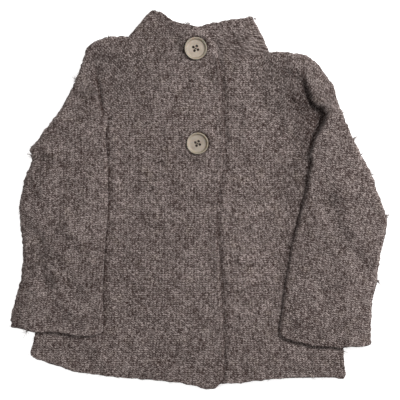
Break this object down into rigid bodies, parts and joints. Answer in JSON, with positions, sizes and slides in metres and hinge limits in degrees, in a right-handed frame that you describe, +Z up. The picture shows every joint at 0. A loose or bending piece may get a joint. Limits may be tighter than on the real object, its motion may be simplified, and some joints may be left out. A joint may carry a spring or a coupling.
{
  "type": "cardigan",
  "caption": "Child's brown-grey felted wool cardigan with a stand collar, raglan sleeves and large cream buttons, laid flat.",
  "frame": {"origin": "centre of the footprint at the table the cardigan lies on", "axes": "+X to the wearer's left, +Y to the collar, +Z up from the table"},
  "size_m": [0.3944, 0.3974, 0.0176],
  "materials": {
    "knit": "felted wool knit, matt and fuzzy",
    "button_cream": "satin, slightly marbled"
  },
  "bodies": {
    "root": {"back": "knit", "front_right": "knit", "front_left": "knit", "sleeve_right": "knit", "sleeve_left": "knit", "collar": "knit", "button_top": "button_cream", "button_lower": "button_cream"}
  },
  "joints": []
}
